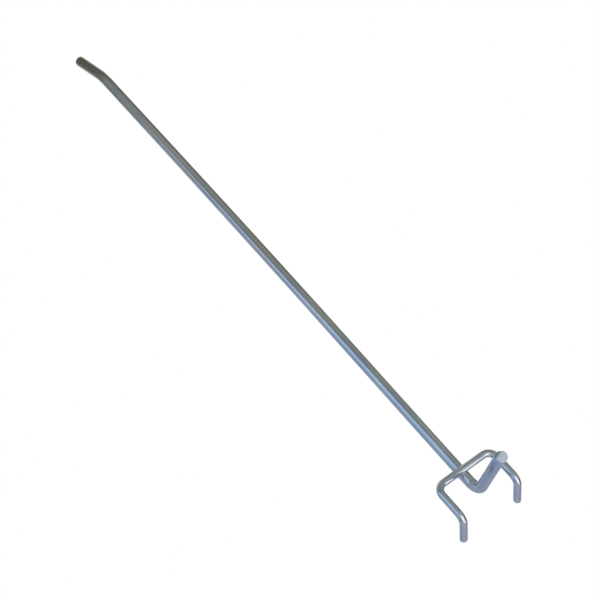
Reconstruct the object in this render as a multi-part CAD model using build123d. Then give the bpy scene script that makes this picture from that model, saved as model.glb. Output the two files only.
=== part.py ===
from build123d import *
import os
from math import cos, radians, sin

# Driving sizes in mm and degrees. Lengths along a wire run corner to corner, before its bends are rounded.
peg_pitch = 25.0
rod_d = 4.0
staple_d = 2.8

# Prong, measured forward (-Y) from the panel's front face.
prong_reach = 229.0
tip_length = 18.0
tip_rise = 21.0
tip_bend_r = 16.0

# Brace leg, below the heel and in front of the panel.
heel_standoff = 4.2
leg_length = 32.0
leg_angle = 84.0
heel_bend_r = 5.4

# Staple: crossbar in front of the panel, arms through its holes, pegs turned up behind it.
crossbar_standoff = 13.0
corner_bend_r = 3.5
peg_setback = 1.3
peg_length = 12.0
peg_angle = 76.0
peg_bend_r = 3.7

# Resistance weld where the prong crosses the crossbar, and the broken edges of the wire ends.
weld_setdown = 0.3
weld_flash = 0.45
tip_edge_r = 0.9
leg_edge_r = 0.35
peg_edge_r = 0.55

rod_z = (rod_d + staple_d) / 2 - weld_setdown


def turned(angle, length):
    return length * cos(radians(angle)), length * sin(radians(angle))


def drawn_wire(corners, bend_radii, diameter, end_edges):
    """A round wire bent at its corners, with a broken edge at each end."""
    path = FilletPolyline(*corners, radius=bend_radii)
    section = Plane(path @ 0, z_dir=path % 0) * Circle(diameter / 2)
    wire = sweep(section, path=path)
    for at, edge_r in zip((path @ 0, path @ 1), end_edges):
        rim = wire.edges().filter_by(GeomType.CIRCLE).sort_by_distance(at)[0]
        wire = fillet(rim, edge_r)
    return wire


# Staple wire, from the end of one peg to the end of the other.
peg_back, peg_up = turned(peg_angle, peg_length)
half = peg_pitch / 2
staple = drawn_wire(
    [
        (-half, peg_setback + peg_back, peg_up),
        (-half, peg_setback, 0),
        (-half, -crossbar_standoff, 0),
        (half, -crossbar_standoff, 0),
        (half, peg_setback, 0),
        (half, peg_setback + peg_back, peg_up),
    ],
    [peg_bend_r, corner_bend_r, corner_bend_r, peg_bend_r],
    staple_d,
    (peg_edge_r, peg_edge_r),
)

# Prong wire, from the raised tip along the prong to the heel and down the leg.
tip_out, tip_up = turned(tip_rise, tip_length)
leg_back, leg_down = turned(leg_angle, leg_length)
prong = drawn_wire(
    [
        (0, -prong_reach - tip_out, rod_z + tip_up),
        (0, -prong_reach, rod_z),
        (0, -heel_standoff, rod_z),
        (0, -heel_standoff + leg_back, rod_z - leg_down),
    ],
    [tip_bend_r, heel_bend_r],
    rod_d,
    (tip_edge_r, leg_edge_r),
)

# Metal squeezed out of the weld fills the crook between the wires. The prong is seated on the crossbar.
crossing = Location((0, -crossbar_standoff, 0))
around_bar = crossing * Rot(0, 90, 0) * Cylinder(staple_d / 2 + weld_flash, 2 * rod_d)
around_rod = crossing * Pos(0, 0, rod_z) * Rot(90, 0, 0) * Cylinder(rod_d / 2 + weld_flash, 2 * rod_d)
prong = prong + (around_bar & around_rod) - staple

os.makedirs("parts", exist_ok=True)
for name, piece in (("prong_rod", prong), ("peg_staple", staple)):
    piece.label = name
    export_step(piece, f"parts/{name}.step")
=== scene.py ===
import bpy
import numpy as np
from mathutils import Matrix


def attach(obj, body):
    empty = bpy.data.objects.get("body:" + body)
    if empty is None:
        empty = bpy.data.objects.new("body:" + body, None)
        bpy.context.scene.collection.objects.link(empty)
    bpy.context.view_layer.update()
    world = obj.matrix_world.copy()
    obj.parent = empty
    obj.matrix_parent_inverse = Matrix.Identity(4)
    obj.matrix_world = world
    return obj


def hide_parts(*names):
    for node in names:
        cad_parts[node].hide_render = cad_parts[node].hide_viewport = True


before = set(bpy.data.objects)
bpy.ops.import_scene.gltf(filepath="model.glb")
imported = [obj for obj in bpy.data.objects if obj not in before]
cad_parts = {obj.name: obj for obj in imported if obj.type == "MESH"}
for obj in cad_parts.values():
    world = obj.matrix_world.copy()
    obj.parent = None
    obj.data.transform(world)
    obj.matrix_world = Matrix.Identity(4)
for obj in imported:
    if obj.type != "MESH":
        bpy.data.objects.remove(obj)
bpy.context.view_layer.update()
mm = 0.001
scene = bpy.context.scene


def unit(v):
    # A vector divided by its own length.
    return np.asarray(v, float) / np.linalg.norm(v)


def smooth(low, high, x):
    # 0 at low and before it, 1 at high and past it, and between them an S-curve: t squared times
    # three less twice t. Low may be above high.
    t = np.clip((x - low) / (high - low), 0, 1)
    return t * t * (3 - 2 * t)


def turned(angle, length):
    # How far a length reaches along and across when it is turned by an angle in degrees.
    return length * np.cos(np.radians(angle)), length * np.sin(np.radians(angle))


def circleRise(radius, offset):
    # Height of a circle at an offset from its middle: the root of radius squared less offset squared.
    return np.sqrt(np.clip(radius ** 2 - offset ** 2, 0, None))


def linear(hexCode):
    # sRGB hex to linear light, with alpha 1: a straight line for the darkest tones, a power above them.
    c = np.array([int(hexCode[i:i + 2], 16) for i in (1, 3, 5)]) / 255
    return (*np.where(c <= 0.04045, c / 12.92, ((c + 0.055) / 1.055) ** 2.4), 1.0)


def addNode(tree, kind, inputs=None, **settings):
    # A node with its settings. An input that is given a socket is linked to it, any other value is set.
    made = tree.nodes.new(kind)
    for key, value in settings.items():
        setattr(made, key, value)
    for key, value in (inputs or {}).items():
        if isinstance(value, bpy.types.NodeSocket):
            tree.links.new(value, made.inputs[key])
        else:
            made.inputs[key].default_value = value
    return made


def newMaterial(name):
    # A material with no nodes yet, and its tree.
    made = bpy.data.materials.new(name)
    made.use_nodes = True
    made.node_tree.nodes.clear()
    return made, made.node_tree


def turnAbout(axis, angles, vector):
    # One vector turned about an axis by each angle: the vector times the cosine, its cross product with
    # the axis times the sine, and its share along the axis times one less the cosine.
    c = np.cos(angles)[:, None]
    s = np.sin(angles)[:, None]
    return vector * c + np.cross(axis, vector) * s + axis * (vector @ axis) * (1 - c)


def bentPath(corners, radii, runStep, arcStep):
    # Straight runs joined by tangent arcs. An arc begins before its corner by its radius times the
    # tangent of half the turn. Each point has its tangent, a side vector that turns with the wire, the
    # direction to the middle of its bend, and how far into the bend it is (0 on a run, 1 halfway round).
    corners = [np.asarray(c, float) for c in corners]
    heading = unit(corners[1] - corners[0])
    side = unit(np.cross(heading, [1.0, 0, 0]))
    rows = []
    start = corners[0]
    for i in range(1, len(corners)):
        stop = corners[i]
        if i < len(corners) - 1:
            onward = unit(corners[i + 1] - corners[i])
            turn = np.arccos(np.clip(heading @ onward, -1, 1))
            stop = corners[i] - heading * radii[i - 1] * np.tan(turn / 2)
        steps = int(np.ceil(np.linalg.norm(stop - start) / runStep))
        run = start + (stop - start) * np.linspace(0, 1, steps + 1)[:, None]
        fixed = np.repeat([np.concatenate([heading, side, [0, 0, 0, 0]])], steps + 1, 0)
        rows.append(np.hstack([run, fixed]))
        if i == len(corners) - 1:
            break
        axis = unit(np.cross(heading, onward))
        inward = np.cross(axis, heading)
        centre = stop + inward * radii[i - 1]
        a = np.linspace(0, turn, int(np.ceil(radii[i - 1] * turn / arcStep)) + 1)
        arc = np.hstack([
            centre - turnAbout(axis, a, inward) * radii[i - 1], turnAbout(axis, a, heading),
            turnAbout(axis, a, side), turnAbout(axis, a, inward), np.sin(np.pi * a / turn)[:, None]])
        rows.append(arc[1:-1])
        start, heading, side = arc[-1, :3], arc[-1, 3:6], arc[-1, 6:9]
    rows = np.concatenate(rows)
    return rows[:, :3], rows[:, 3:6], rows[:, 6:9], rows[:, 9:12], rows[:, 12]


def withPoles(values, poles):
    # Grid values as one list. With poles, the means of the first row and the last row are added to it.
    flat = values.reshape(-1, *values.shape[2:])
    return np.concatenate([flat, [values[0].mean(0), values[-1].mean(0)]]) if poles else flat


def gridPiece(name, grid, material, attributes, closed=True, poles=False):
    # Quads over a grid of rows by columns. A closed grid joins its last column to its first, and poles
    # close both ends with fans of triangles.
    rows, columns = grid.shape[:2]
    across = columns if closed else columns - 1
    i, j = np.meshgrid(np.arange(rows - 1), np.arange(across), indexing="ij")
    k = (j + 1) % columns
    quads = np.stack([i * columns + j, i * columns + k, (i + 1) * columns + k, (i + 1) * columns + j], -1)
    faces = quads.reshape(-1, 4).tolist()
    if poles:
        count = rows * columns
        last = count - columns
        first = np.arange(columns)
        onward = np.roll(first, -1)
        faces += np.stack([np.full(columns, count), onward, first], 1).tolist()
        faces += np.stack([np.full(columns, count + 1), last + first, last + onward], 1).tolist()
    mesh = bpy.data.meshes.new(name)
    mesh.from_pydata(withPoles(grid, poles), [], faces)
    mesh.polygons.foreach_set("use_smooth", np.ones(len(mesh.polygons), bool))
    for key, values in attributes.items():
        isVector = values.ndim == 3
        layer = mesh.attributes.new(key, "FLOAT_VECTOR" if isVector else "FLOAT", "POINT")
        flat = withPoles(values, poles).astype(np.float32).ravel()
        layer.data.foreach_set("vector" if isVector else "value", flat)
    mesh.materials.append(material)
    mesh.update()
    piece = bpy.data.objects.new(name, mesh)
    scene.collection.objects.link(piece)
    return piece


# What the cropping blade leaves on every cut end. Places across the face run from -1, where the blade
# enters, to 1, where it leaves. Lumps are waves across and along the cut, in radians per radius.
crop = dict(rings=14, edgeRings=8, rolledFrom=-0.35, brokenFrom=0.05, brokenFull=0.45, lumpiness=0.45,
            longLump=(9, 5), shortLump=(-6, 13), bareFrom=-0.75, bareFull=-0.5, bareEdge=0.45,
            clearRun=0.5 * mm, dragReach=1 / 3)


def cutEnd(r, edge, cut, angle):
    # One cropped end as rings from its middle to its rim and round its broken edge: the radius by ring,
    # then the depth below the end plane and the bare steel by ring and angle. The whole face slants, the
    # blade rolls the metal over where it enters and leaves a flat burnished band, and past that the steel
    # breaks away in a lower, lumpy face.
    a = np.linspace(0, np.pi / 2, crop["edgeRings"])
    flat = np.linspace(1 / crop["rings"], 1, crop["rings"])[:-1] * (r - edge)
    radius = np.concatenate([flat, r - edge + edge * np.sin(a)])
    depth = np.concatenate([np.zeros(len(flat)), edge * (1 - np.cos(a))])
    x = radius[:, None] / r * np.cos(angle - cut["turn"])
    y = radius[:, None] / r * np.sin(angle - cut["turn"])
    longWave = np.sin(crop["longLump"][0] * x + crop["longLump"][1] * y + cut["turn"])
    shortWave = np.sin(crop["shortLump"][0] * x + crop["shortLump"][1] * y)
    lumps = (2 + longWave + shortWave) / 4
    broken = smooth(crop["brokenFrom"], crop["brokenFull"], x)
    relief = cut["rollOver"] * smooth(crop["rolledFrom"], -1, x)
    relief += cut["breakDepth"] * broken * (1 - crop["lumpiness"] + crop["lumpiness"] * lumps)
    slope = np.tan(np.radians(cut["slant"]))
    relief += slope * (r + radius[:, None] * np.cos(angle - cut["lowSide"]))
    inner = radius < r - edge * crop["bareEdge"]
    bare = inner[:, None] * smooth(crop["bareFrom"], crop["bareFull"], x)
    return radius, depth[:, None] + relief, bare


def drawnWire(shape, corners, radii):
    # A circle of wire carried along its bent path between two cropped ends: a point is the path, plus
    # the radius times a circle that turns with the wire, plus the depth of the cut along the wire.
    points, tangents, sides, inward, bend = bentPath(corners, radii, shape["runStep"], shape["arcStep"])
    r = shape["diameter"] / 2
    along = np.concatenate([[0], np.cumsum(np.linalg.norm(np.diff(points, axis=0), axis=1))])
    angle = np.arange(shape["columns"]) / shape["columns"] * 2 * np.pi
    ends = [cutEnd(r, edge, cut, angle) for edge, cut in zip(shape["edges"], shape["cuts"])]
    clear = [edge + crop["clearRun"] for edge in shape["edges"]]
    body = np.where((along > clear[0]) & (along < along[-1] - clear[1]))[0]
    count = len(ends[0][0])
    index = np.concatenate([np.zeros(count, int), body, np.full(count, len(points) - 1)])
    radius = np.concatenate([ends[0][0], np.full(len(body), r), ends[1][0][::-1]])
    shift = np.zeros((len(index), len(angle)))
    shift[:count] = ends[0][1]
    shift[-count:] = -ends[1][1][::-1]
    cutFace = np.zeros_like(shift)
    cutFace[:count] = ends[0][2]
    cutFace[-count:] = ends[1][2][::-1]
    up = np.cross(tangents, sides)[index]
    ring = np.cos(angle)[:, None] * sides[index][:, None] + np.sin(angle)[:, None] * up[:, None]
    # In a bend the wire flattens towards the bend's middle. Inside the bend a stripe is pressed flatter,
    # by the cube of how squarely the skin faces the middle.
    toward = np.einsum("rcx,rx->rc", ring, inward[index])
    eased = bend[index][:, None]
    thin = shape["flatten"] * eased * toward + shape["pressed"] * eased * np.clip(toward, 0, 1) ** 3
    offset = ring - inward[index][:, None] * thin[..., None]
    grid = points[index][:, None] + offset * radius[:, None, None]
    grid += tangents[index][:, None] * shift[..., None]
    # The blade drags each end a little towards the side where it leaves.
    for cut, away in zip(shape["cuts"], (along, along[-1] - along)):
        pull = cut["drag"] * (1 - smooth(0, shape["diameter"] * crop["dragReach"], away[index]))
        exitSide = np.cos(cut["turn"]) * sides[index] + np.sin(cut["turn"]) * up
        grid += (pull[:, None] * exitSide)[:, None]
    straight = np.stack([np.cos(angle) * radius[:, None], np.sin(angle) * radius[:, None],
                         along[index][:, None] + shift], -1)
    return grid, dict(straightWire=straight, cutFace=cutFace, bendMark=eased * toward)


def zincPlate(name, look):
    # Bright electroplated zinc with a clear blue passivate, over steel wire drawn through a die. To the
    # eye: a cool, soft mirror with fine lines along the wire, cloudy patches where the passivate turns
    # blue or straw, a slight grain, and pale, matt steel where the wire was cropped.
    made, tree = newMaterial(name)
    wire = addNode(tree, "ShaderNodeAttribute", attribute_name="straightWire").outputs["Vector"]
    isCut = addNode(tree, "ShaderNodeAttribute", attribute_name="cutFace").outputs["Fac"]
    mark = addNode(tree, "ShaderNodeAttribute", attribute_name="bendMark").outputs["Fac"]

    # Die lines: noise drawn out along the wire. Real lines are about 0.05 mm apart, and these are
    # coarser, to show.
    stretch = (1 / look["lineWidth"], 1 / look["lineWidth"], 1 / look["lineLength"])
    drawn = addNode(tree, "ShaderNodeVectorMath", {0: wire, 1: stretch}, operation="MULTIPLY").outputs[0]
    lines = addNode(tree, "ShaderNodeTexNoise", {
        "Vector": drawn, "Scale": 1, "Detail": 3, "Roughness": 0.6}).outputs["Fac"]
    grain = addNode(tree, "ShaderNodeTexNoise", {
        "Vector": wire, "Scale": 1 / look["grain"], "Detail": 2}).outputs["Fac"]

    # Clouds: broad patches, longer than wide, of thicker and thinner passivate. The film that turns blue
    # or straw has wider patches of its own, from another slice of the noise.
    patch = (1 / look["cloud"], 1 / look["cloud"], 1 / look["cloudLength"])
    broad = addNode(tree, "ShaderNodeVectorMath", {0: wire, 1: patch}, operation="MULTIPLY").outputs[0]
    cloud = addNode(tree, "ShaderNodeTexNoise", {
        "Vector": broad, "Scale": 1, "Detail": 4, "Distortion": 0.6}).outputs["Fac"]
    film = addNode(tree, "ShaderNodeTexNoise", {
        "Vector": broad, "Scale": look["filmScale"], "Detail": 2, "W": look["filmSlice"]},
        noise_dimensions="4D").outputs["Fac"]
    spots = addNode(tree, "ShaderNodeTexVoronoi", {
        "Vector": wire, "Scale": 1 / look["spot"]}).outputs["Distance"]

    # Colour in layers: pale clouds, blue and straw film, small pits. A layer begins where its pattern
    # reaches the first limit, and has its full amount at the second.
    colour = linear(look["plate"])
    for layer, pattern in (("pale", cloud), ("blue", film), ("straw", film), ("pit", spots)):
        tone, begins, full, amount = look[layer]
        share = addNode(tree, "ShaderNodeMapRange", {
            "Value": pattern, "From Min": begins, "From Max": full, "To Max": amount}).outputs[0]
        colour = addNode(tree, "ShaderNodeMix", {
            "Factor": share, 6: colour, 7: linear(tone)}, data_type="RGBA").outputs[2]

    # Cropped ends: bare steel, paler and darker from crystal to crystal.
    crystal = addNode(tree, "ShaderNodeTexNoise", {
        "Vector": wire, "Scale": 1 / look["crystal"], "Detail": 3}).outputs["Fac"]
    steel = addNode(tree, "ShaderNodeMix", {
        "Factor": crystal, 6: linear(look["cropDark"]), 7: linear(look["cropPale"])},
        data_type="RGBA").outputs[2]
    colour = addNode(tree, "ShaderNodeMix", {
        "Factor": isCut, 6: colour, 7: steel}, data_type="RGBA").outputs[2]

    # Roughness follows the clouds and the die lines, with duller metal inside the bends and on the cuts.
    clouded = addNode(tree, "ShaderNodeMapRange", {
        "Value": cloud, "From Min": look["dullClouds"][0], "From Max": look["dullClouds"][1],
        "To Min": look["roughness"][0], "To Max": look["roughness"][1]}).outputs[0]
    lined = addNode(tree, "ShaderNodeMath", {
        0: lines, 1: look["lineRoughness"], 2: clouded}, operation="MULTIPLY_ADD").outputs[0]
    inside = addNode(tree, "ShaderNodeMapRange", {
        "Value": mark, "From Min": look["insideBend"][0], "From Max": look["insideBend"][1],
        "To Max": look["pressedDull"]}).outputs[0]
    dulled = addNode(tree, "ShaderNodeMath", {0: lined, 1: inside}, operation="ADD").outputs[0]
    roughness = addNode(tree, "ShaderNodeMix", {
        "Factor": isCut, 2: dulled, 3: look["cropRoughness"]}, data_type="FLOAT").outputs[0]
    metallic = addNode(tree, "ShaderNodeMath", {
        0: isCut, 1: look["cropMetallic"] - 1, 2: 1.0}, operation="MULTIPLY_ADD").outputs[0]

    # Relief: die lines and grain everywhere, coarser skin outside a bend, crystals on a cropped end.
    outside = addNode(tree, "ShaderNodeMapRange", {
        "Value": mark, "From Min": look["outsideBend"][0], "From Max": look["outsideBend"][1]}).outputs[0]
    wrinkle = addNode(tree, "ShaderNodeMath", {
        0: outside, 1: look["wrinkle"], 2: 1.0}, operation="MULTIPLY_ADD").outputs[0]
    skin = addNode(tree, "ShaderNodeMath", {0: grain, 1: wrinkle}, operation="MULTIPLY").outputs[0]
    bumpLines = addNode(tree, "ShaderNodeBump", {
        "Height": lines, "Distance": look["lineDepth"], "Strength": 1}).outputs[0]
    bumpGrain = addNode(tree, "ShaderNodeBump", {
        "Height": skin, "Distance": look["grainDepth"], "Normal": bumpLines}).outputs[0]
    bumpCut = addNode(tree, "ShaderNodeBump", {
        "Height": crystal, "Distance": look["crystalDepth"], "Strength": isCut,
        "Normal": bumpGrain}).outputs[0]
    shader = addNode(tree, "ShaderNodeBsdfPrincipled", {
        "Base Color": colour, "Roughness": roughness, "Metallic": metallic, "Normal": bumpCut})
    addNode(tree, "ShaderNodeOutputMaterial", {"Surface": shader.outputs[0]})
    return made


# Each layer has its tone, the two limits of its pattern, and its full amount.
zinc = zincPlate("brightZincPlate", dict(
    plate="#BEC4D0", pale=("#CBD0DA", 0.35, 0.65, 1.0), blue=("#A9BBDA", 0.52, 0.68, 0.5),
    straw=("#CBC5B0", 0.46, 0.3, 0.45), pit=("#7C8088", 0.06, 0.03, 0.3),
    lineWidth=0.35 * mm, lineLength=60 * mm, lineDepth=0.0012 * mm, lineRoughness=0.05,
    grain=0.45 * mm, grainDepth=0.0006 * mm, wrinkle=3.0, cloud=7 * mm, cloudLength=17.5 * mm,
    filmScale=0.6, filmSlice=3.0, spot=3 * mm, roughness=(0.11, 0.17), dullClouds=(0.3, 0.7),
    pressedDull=0.25, insideBend=(0.2, 0.8), outsideBend=(-0.2, -0.9),
    crystal=0.35 * mm, crystalDepth=0.05 * mm, cropDark="#9BABB8", cropPale="#C6D4DC",
    cropRoughness=0.5, cropMetallic=0.45))
print("zinc plate mixed")

# The staple: crossbar, two arms and two pegs of thinner wire. Lengths run corner to corner. Each cut has
# the side where the blade leaves and the side that its slant lowers, in radians round the wire.
staple = dict(
    pitch=25 * mm, diameter=2.8 * mm, standoff=13 * mm, setback=1.3 * mm, pegLength=12 * mm, pegAngle=76,
    cornerBend=3.5 * mm, pegBend=3.7 * mm, flatten=0.035, pressed=0.03,
    runStep=0.25 * mm, arcStep=0.1 * mm, columns=64, edges=(0.4 * mm, 0.4 * mm),
    cuts=(dict(rollOver=0.15 * mm, breakDepth=0.05 * mm, turn=0.9, slant=3, lowSide=4.1, drag=0),
          dict(rollOver=0.15 * mm, breakDepth=0.05 * mm, turn=2.2, slant=8, lowSide=5.3, drag=0)))
pegBack, pegUp = turned(staple["pegAngle"], staple["pegLength"])
half = staple["pitch"] / 2
leftHalf = [(-half, staple["setback"] + pegBack, pegUp), (-half, staple["setback"], 0),
            (-half, -staple["standoff"], 0)]
rightHalf = [(-x, y, z) for x, y, z in leftHalf[::-1]]
stapleGrid, stapleMarks = drawnWire(staple, leftHalf + rightHalf, [
    staple["pegBend"], staple["cornerBend"], staple["cornerBend"], staple["pegBend"]])
stapleWire = gridPiece("pegStaple", stapleGrid, zinc, stapleMarks, poles=True)

# The prong: raised tip, straight run, heel bend and brace leg of thicker wire.
prong = dict(
    diameter=4 * mm, reach=229 * mm, tipLength=18 * mm, tipRise=21, tipBend=16 * mm, heel=4.2 * mm,
    legLength=32 * mm, legAngle=84, heelBend=5.4 * mm, setdown=0.3 * mm, bow=0.46 * mm, bowEnd=236 * mm,
    bowPower=1.5, flatten=0.03, pressed=0.035, runStep=0.4 * mm, arcStep=0.15 * mm, columns=72,
    edges=(0.9 * mm, 0.25 * mm),
    cuts=(dict(rollOver=0.2 * mm, breakDepth=0.1 * mm, turn=1.0, slant=0, lowSide=0, drag=0),
          dict(rollOver=0.45 * mm, breakDepth=0.12 * mm, turn=3.4, slant=9, lowSide=2.1, drag=0.3 * mm)))
rodRadius = prong["diameter"] / 2
barRadius = staple["diameter"] / 2
rodZ = (prong["diameter"] + staple["diameter"]) / 2 - prong["setdown"]
tipOut, tipUp = turned(prong["tipRise"], prong["tipLength"])
legBack, legDown = turned(prong["legAngle"], prong["legLength"])
prongCorners = [(0, -prong["reach"] - tipOut, rodZ + tipUp), (0, -prong["reach"], rodZ),
                (0, -prong["heel"], rodZ), (0, -prong["heel"] + legBack, rodZ - legDown)]
prongGrid, prongMarks = drawnWire(prong, prongCorners, [prong["tipBend"], prong["heelBend"]])
# No wire comes off the coil dead straight: a long, slight bow to one side from the weld to the tip's
# bend, as half a sine wave raised to a power.
bowRun = prong["bowEnd"] - staple["standoff"]
share = np.clip((-prongGrid[..., 1] - staple["standoff"]) / bowRun, 0, 1)
prongGrid[..., 0] += prong["bow"] * np.sin(np.pi * share) ** prong["bowPower"]
# The weld sinks the crossbar into the rod, so the rod's underside lies on the crossbar there.
barTop = circleRise(barRadius, prongGrid[..., 1] + staple["standoff"])
sunk = (barTop > 0) & (np.abs(prongGrid[..., 2]) < barTop)
prongGrid[..., 2] = np.where(sunk, barTop, prongGrid[..., 2])
prongWire = gridPiece("prongRod", prongGrid, zinc, prongMarks, poles=True)
print("wires drawn")

# Weld flash: metal squeezed out round the crossing. In each direction it stands where the gap between
# the rod's underside and the crossbar's top is as wide as the flash is high. It climbs from one to the
# other, narrower at half height, and ripples make it ragged: waves round it, their share and their phase.
flash = dict(height=0.42 * mm, flare=0.2, sink=0.02 * mm, around=96, rows=15, farthest=1.39 * mm,
             samples=400, ragged=0.035, ripples=((3, 1, 1), (7, 0.6, 0), (11, 0.4, 2)))
phi = np.arange(flash["around"]) / flash["around"] * 2 * np.pi
reach = np.linspace(0, flash["farthest"], flash["samples"])[:, None]
gap = rodZ - circleRise(rodRadius, reach * np.cos(phi)) - circleRise(barRadius, reach * np.sin(phi))
edgeAt = reach[np.argmin(np.abs(gap - flash["height"]), 0), 0]
ripple = sum(part * np.sin(waves * phi + phase) for waves, part, phase in flash["ripples"])
edgeAt = edgeAt * (1 + flash["ragged"] * ripple)
climb = np.linspace(0, 1, flash["rows"])[:, None]
spread = edgeAt * (1 + flash["flare"] * (2 * climb - 1) ** 2 - flash["flare"] / 2)
flashX = spread * np.cos(phi)
flashY = spread * np.sin(phi)
lower = circleRise(barRadius, flashY) - flash["sink"]
upper = rodZ - circleRise(rodRadius, flashX) + flash["sink"]
flashZ = lower + (upper - lower) * smooth(0, 1, climb)
flashGrid = np.stack([flashX, flashY - staple["standoff"], flashZ], -1)
plain = np.zeros(flashZ.shape)
flashMarks = dict(straightWire=flashGrid, cutFace=plain, bendMark=plain)
weldFlash = gridPiece("weldFlash", flashGrid, zinc, flashMarks, poles=True)

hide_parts("peg_staple")
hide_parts("prong_rod")
for piece in (stapleWire, prongWire, weldFlash):
    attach(piece, "root")
print("crossing welded")

# Camera: below the hook and behind it, as it is seen lying upside down. The focal length is in pixels.
view = dict(focal=1699.854, imageSide=600, nearest=0.01, place=np.array([-242.05, 137.57, -517.19]) * mm,
            right=(0.7815, 0.6192, -0.0768), down=(-0.4892, 0.6845, 0.5406),
            ahead=(0.3873, -0.3849, 0.8378))
right, down, ahead = (np.array(view[k]) for k in ("right", "down", "ahead"))
camera = bpy.data.objects.new("camera", bpy.data.cameras.new("camera"))
camera.data.lens = camera.data.sensor_width * view["focal"] / view["imageSide"]
camera.data.clip_start = view["nearest"]
pose = np.eye(4)
pose[:3] = np.stack([right, -down, -ahead, view["place"]], 1)
camera.matrix_world = Matrix(pose.tolist())
scene.collection.objects.link(camera)
scene.camera = camera

# White room and pale floor, in metres.
ground = dict(level=-1.5, side=60, tone="#FFFFFF", roomTone="#FFFFFF")
world = bpy.data.worlds.new("whiteRoom")
world.use_nodes = True
world.node_tree.nodes["Background"].inputs["Color"].default_value = linear(ground["roomTone"])
scene.world = world
paint, paintTree = newMaterial("paleFloor")
matte = addNode(paintTree, "ShaderNodeBsdfDiffuse", {"Color": linear(ground["tone"])})
addNode(paintTree, "ShaderNodeOutputMaterial", {"Surface": matte.outputs[0]})
edges = np.array([-0.5, 0.5]) * ground["side"]
floorX, floorY = np.meshgrid(edges, edges, indexing="ij")
floorGrid = np.stack([floorX, floorY, np.full(floorX.shape, ground["level"])], -1)
floor = gridPiece("floor", floorGrid, paint, {}, closed=False)

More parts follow.
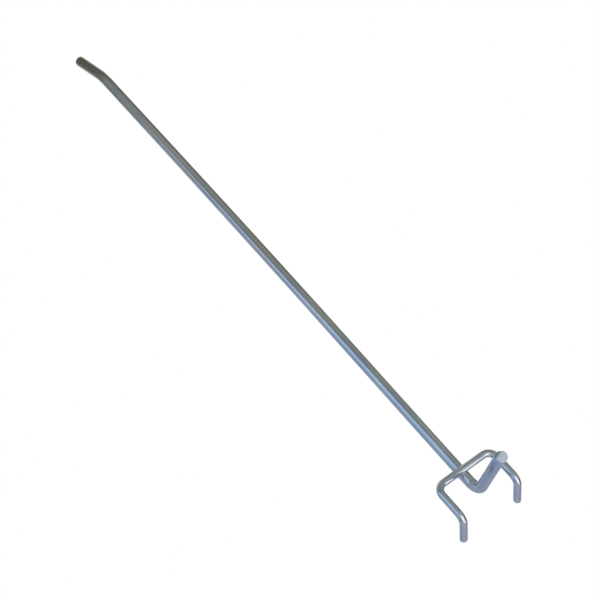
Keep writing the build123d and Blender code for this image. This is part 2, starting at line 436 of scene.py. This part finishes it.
# Studio cards, as seen from the crossing: degrees right of the camera and above it, roll in degrees,
# distance, width and height in metres, and how much of each half fades out. The softbox and the window
# make the bright lines, the cards the blue and grey sides, and the flags the dark lines. Only mirror
# reflections see them.
cards = [
    dict(name="keySoftbox", at=(35, -11), roll=-51, distance=0.69, size=(1.47, 0.83), fade=0.65,
         tone="#FFFFF3", strength=1.7),
    dict(name="coolWindow", at=(-32, -10), roll=-75, distance=0.55, size=(1.6, 3.4), fade=1.0,
         tone="#B5D5F6", strength=1),
    dict(name="tableCard", at=(176, -84), roll=34, distance=0.39, size=(1.2, 6.0), fade=0.3,
         tone="#C0C2CC", strength=1),
    dict(name="lowCard", at=(-134, -29), roll=-4, distance=0.25, size=(2.1, 0.68), fade=0.7,
         tone="#A5B6C9", strength=1),
    dict(name="backCard", at=(150, -26), roll=0, distance=0.34, size=(0.95, 0.5), fade=0.35,
         tone="#A9AFBA", strength=1),
    dict(name="roomCard", at=(60, 57), roll=-38, distance=0.29, size=(9.8, 1.1), fade=0.95,
         tone="#999D8F", strength=1),
    dict(name="greyFlag", at=(-89, 20), roll=-19, distance=0.72, size=(0.56, 2.7), fade=0.36,
         tone="#99998F", strength=1),
    dict(name="darkFlag", at=(-123, 46), roll=11, distance=0.26, size=(0.18, 0.58), fade=1.0,
         tone="#67624F", strength=1),
    dict(name="rightFlag", at=(122, 18), roll=-45, distance=0.39, size=(0.71, 1.23), fade=0.2,
         tone="#948E80", strength=1),
    dict(name="paleCard", at=(56, 45), roll=-38, distance=0.27, size=(0.63, 0.29), fade=0.9,
         tone="#A7AEB1", strength=1),
    dict(name="tipFlag", at=(12, 24), roll=32, distance=0.24, size=(0.36, 0.18), fade=0.5,
         tone="#B1B8BD", strength=1),
    dict(name="topCard", at=(-176, 79), roll=3, distance=0.24, size=(0.37, 0.14), fade=0.8,
         tone="#9C9886", strength=1),
    dict(name="sideFlag", at=(175, 60), roll=0, distance=0.3, size=(0.24, 0.26), fade=0.5,
         tone="#817E6F", strength=1),
    dict(name="nookFlag", at=(-28, -45), roll=0, distance=0.3, size=(0.24, 0.2), fade=0.8,
         tone="#866F4A", strength=1),
    dict(name="edgeFlag", at=(108, 0), roll=0, distance=0.3, size=(0.13, 0.24), fade=0.8,
         tone="#4A4028", strength=1),
    dict(name="lineFlag", at=(-20, 45), roll=10, distance=0.26, size=(0.24, 0.11), fade=0.8,
         tone="#6C8793", strength=1),
    dict(name="legCard", at=(-158, -38), roll=0, distance=0.23, size=(0.26, 0.3), fade=0.8,
         tone="#A4ABBF", strength=1),
    dict(name="shadeCard", at=(-38, 44), roll=29, distance=0.48, size=(0.64, 0.21), fade=0.4,
         tone="#859294", strength=1),
]
crossing = np.array([0, -staple["standoff"], 0])
cardRows = 41
halves = np.linspace(-1, 1, cardRows)
s, h = np.meshgrid(halves, halves, indexing="ij")
for card in cards:
    a, e, roll = np.radians([*card["at"], card["roll"]])
    outward = np.sin(a) * np.cos(e) * right - np.sin(e) * down - np.cos(a) * np.cos(e) * ahead
    level = np.cos(a) * right + np.sin(a) * ahead
    rise = np.cross(outward, level)
    halfWide = (level * np.cos(roll) + rise * np.sin(roll)) * card["size"][0] / 2
    halfHigh = (rise * np.cos(roll) - level * np.sin(roll)) * card["size"][1] / 2
    sheet = crossing + outward * card["distance"] + s[..., None] * halfWide + h[..., None] * halfHigh
    cover = smooth(0, card["fade"], 1 - np.abs(s)) * smooth(0, card["fade"], 1 - np.abs(h))
    cloth, clothTree = newMaterial(card["name"])
    light = addNode(clothTree, "ShaderNodeEmission", {
        "Color": linear(card["tone"]), "Strength": card["strength"]})
    clear = addNode(clothTree, "ShaderNodeBsdfTransparent")
    seen = addNode(clothTree, "ShaderNodeAttribute", attribute_name="cover")
    mixed = addNode(clothTree, "ShaderNodeMixShader", {
        0: seen.outputs["Fac"], 1: clear.outputs[0], 2: light.outputs[0]})
    addNode(clothTree, "ShaderNodeOutputMaterial", {"Surface": mixed.outputs[0]})
    panel = gridPiece(card["name"], sheet, cloth, dict(cover=cover), closed=False)
    panel.visible_camera = False
    panel.visible_diffuse = False
    panel.visible_shadow = False
    panel.visible_transmission = False
scene.view_settings.view_transform = "Standard"
print("studio set")
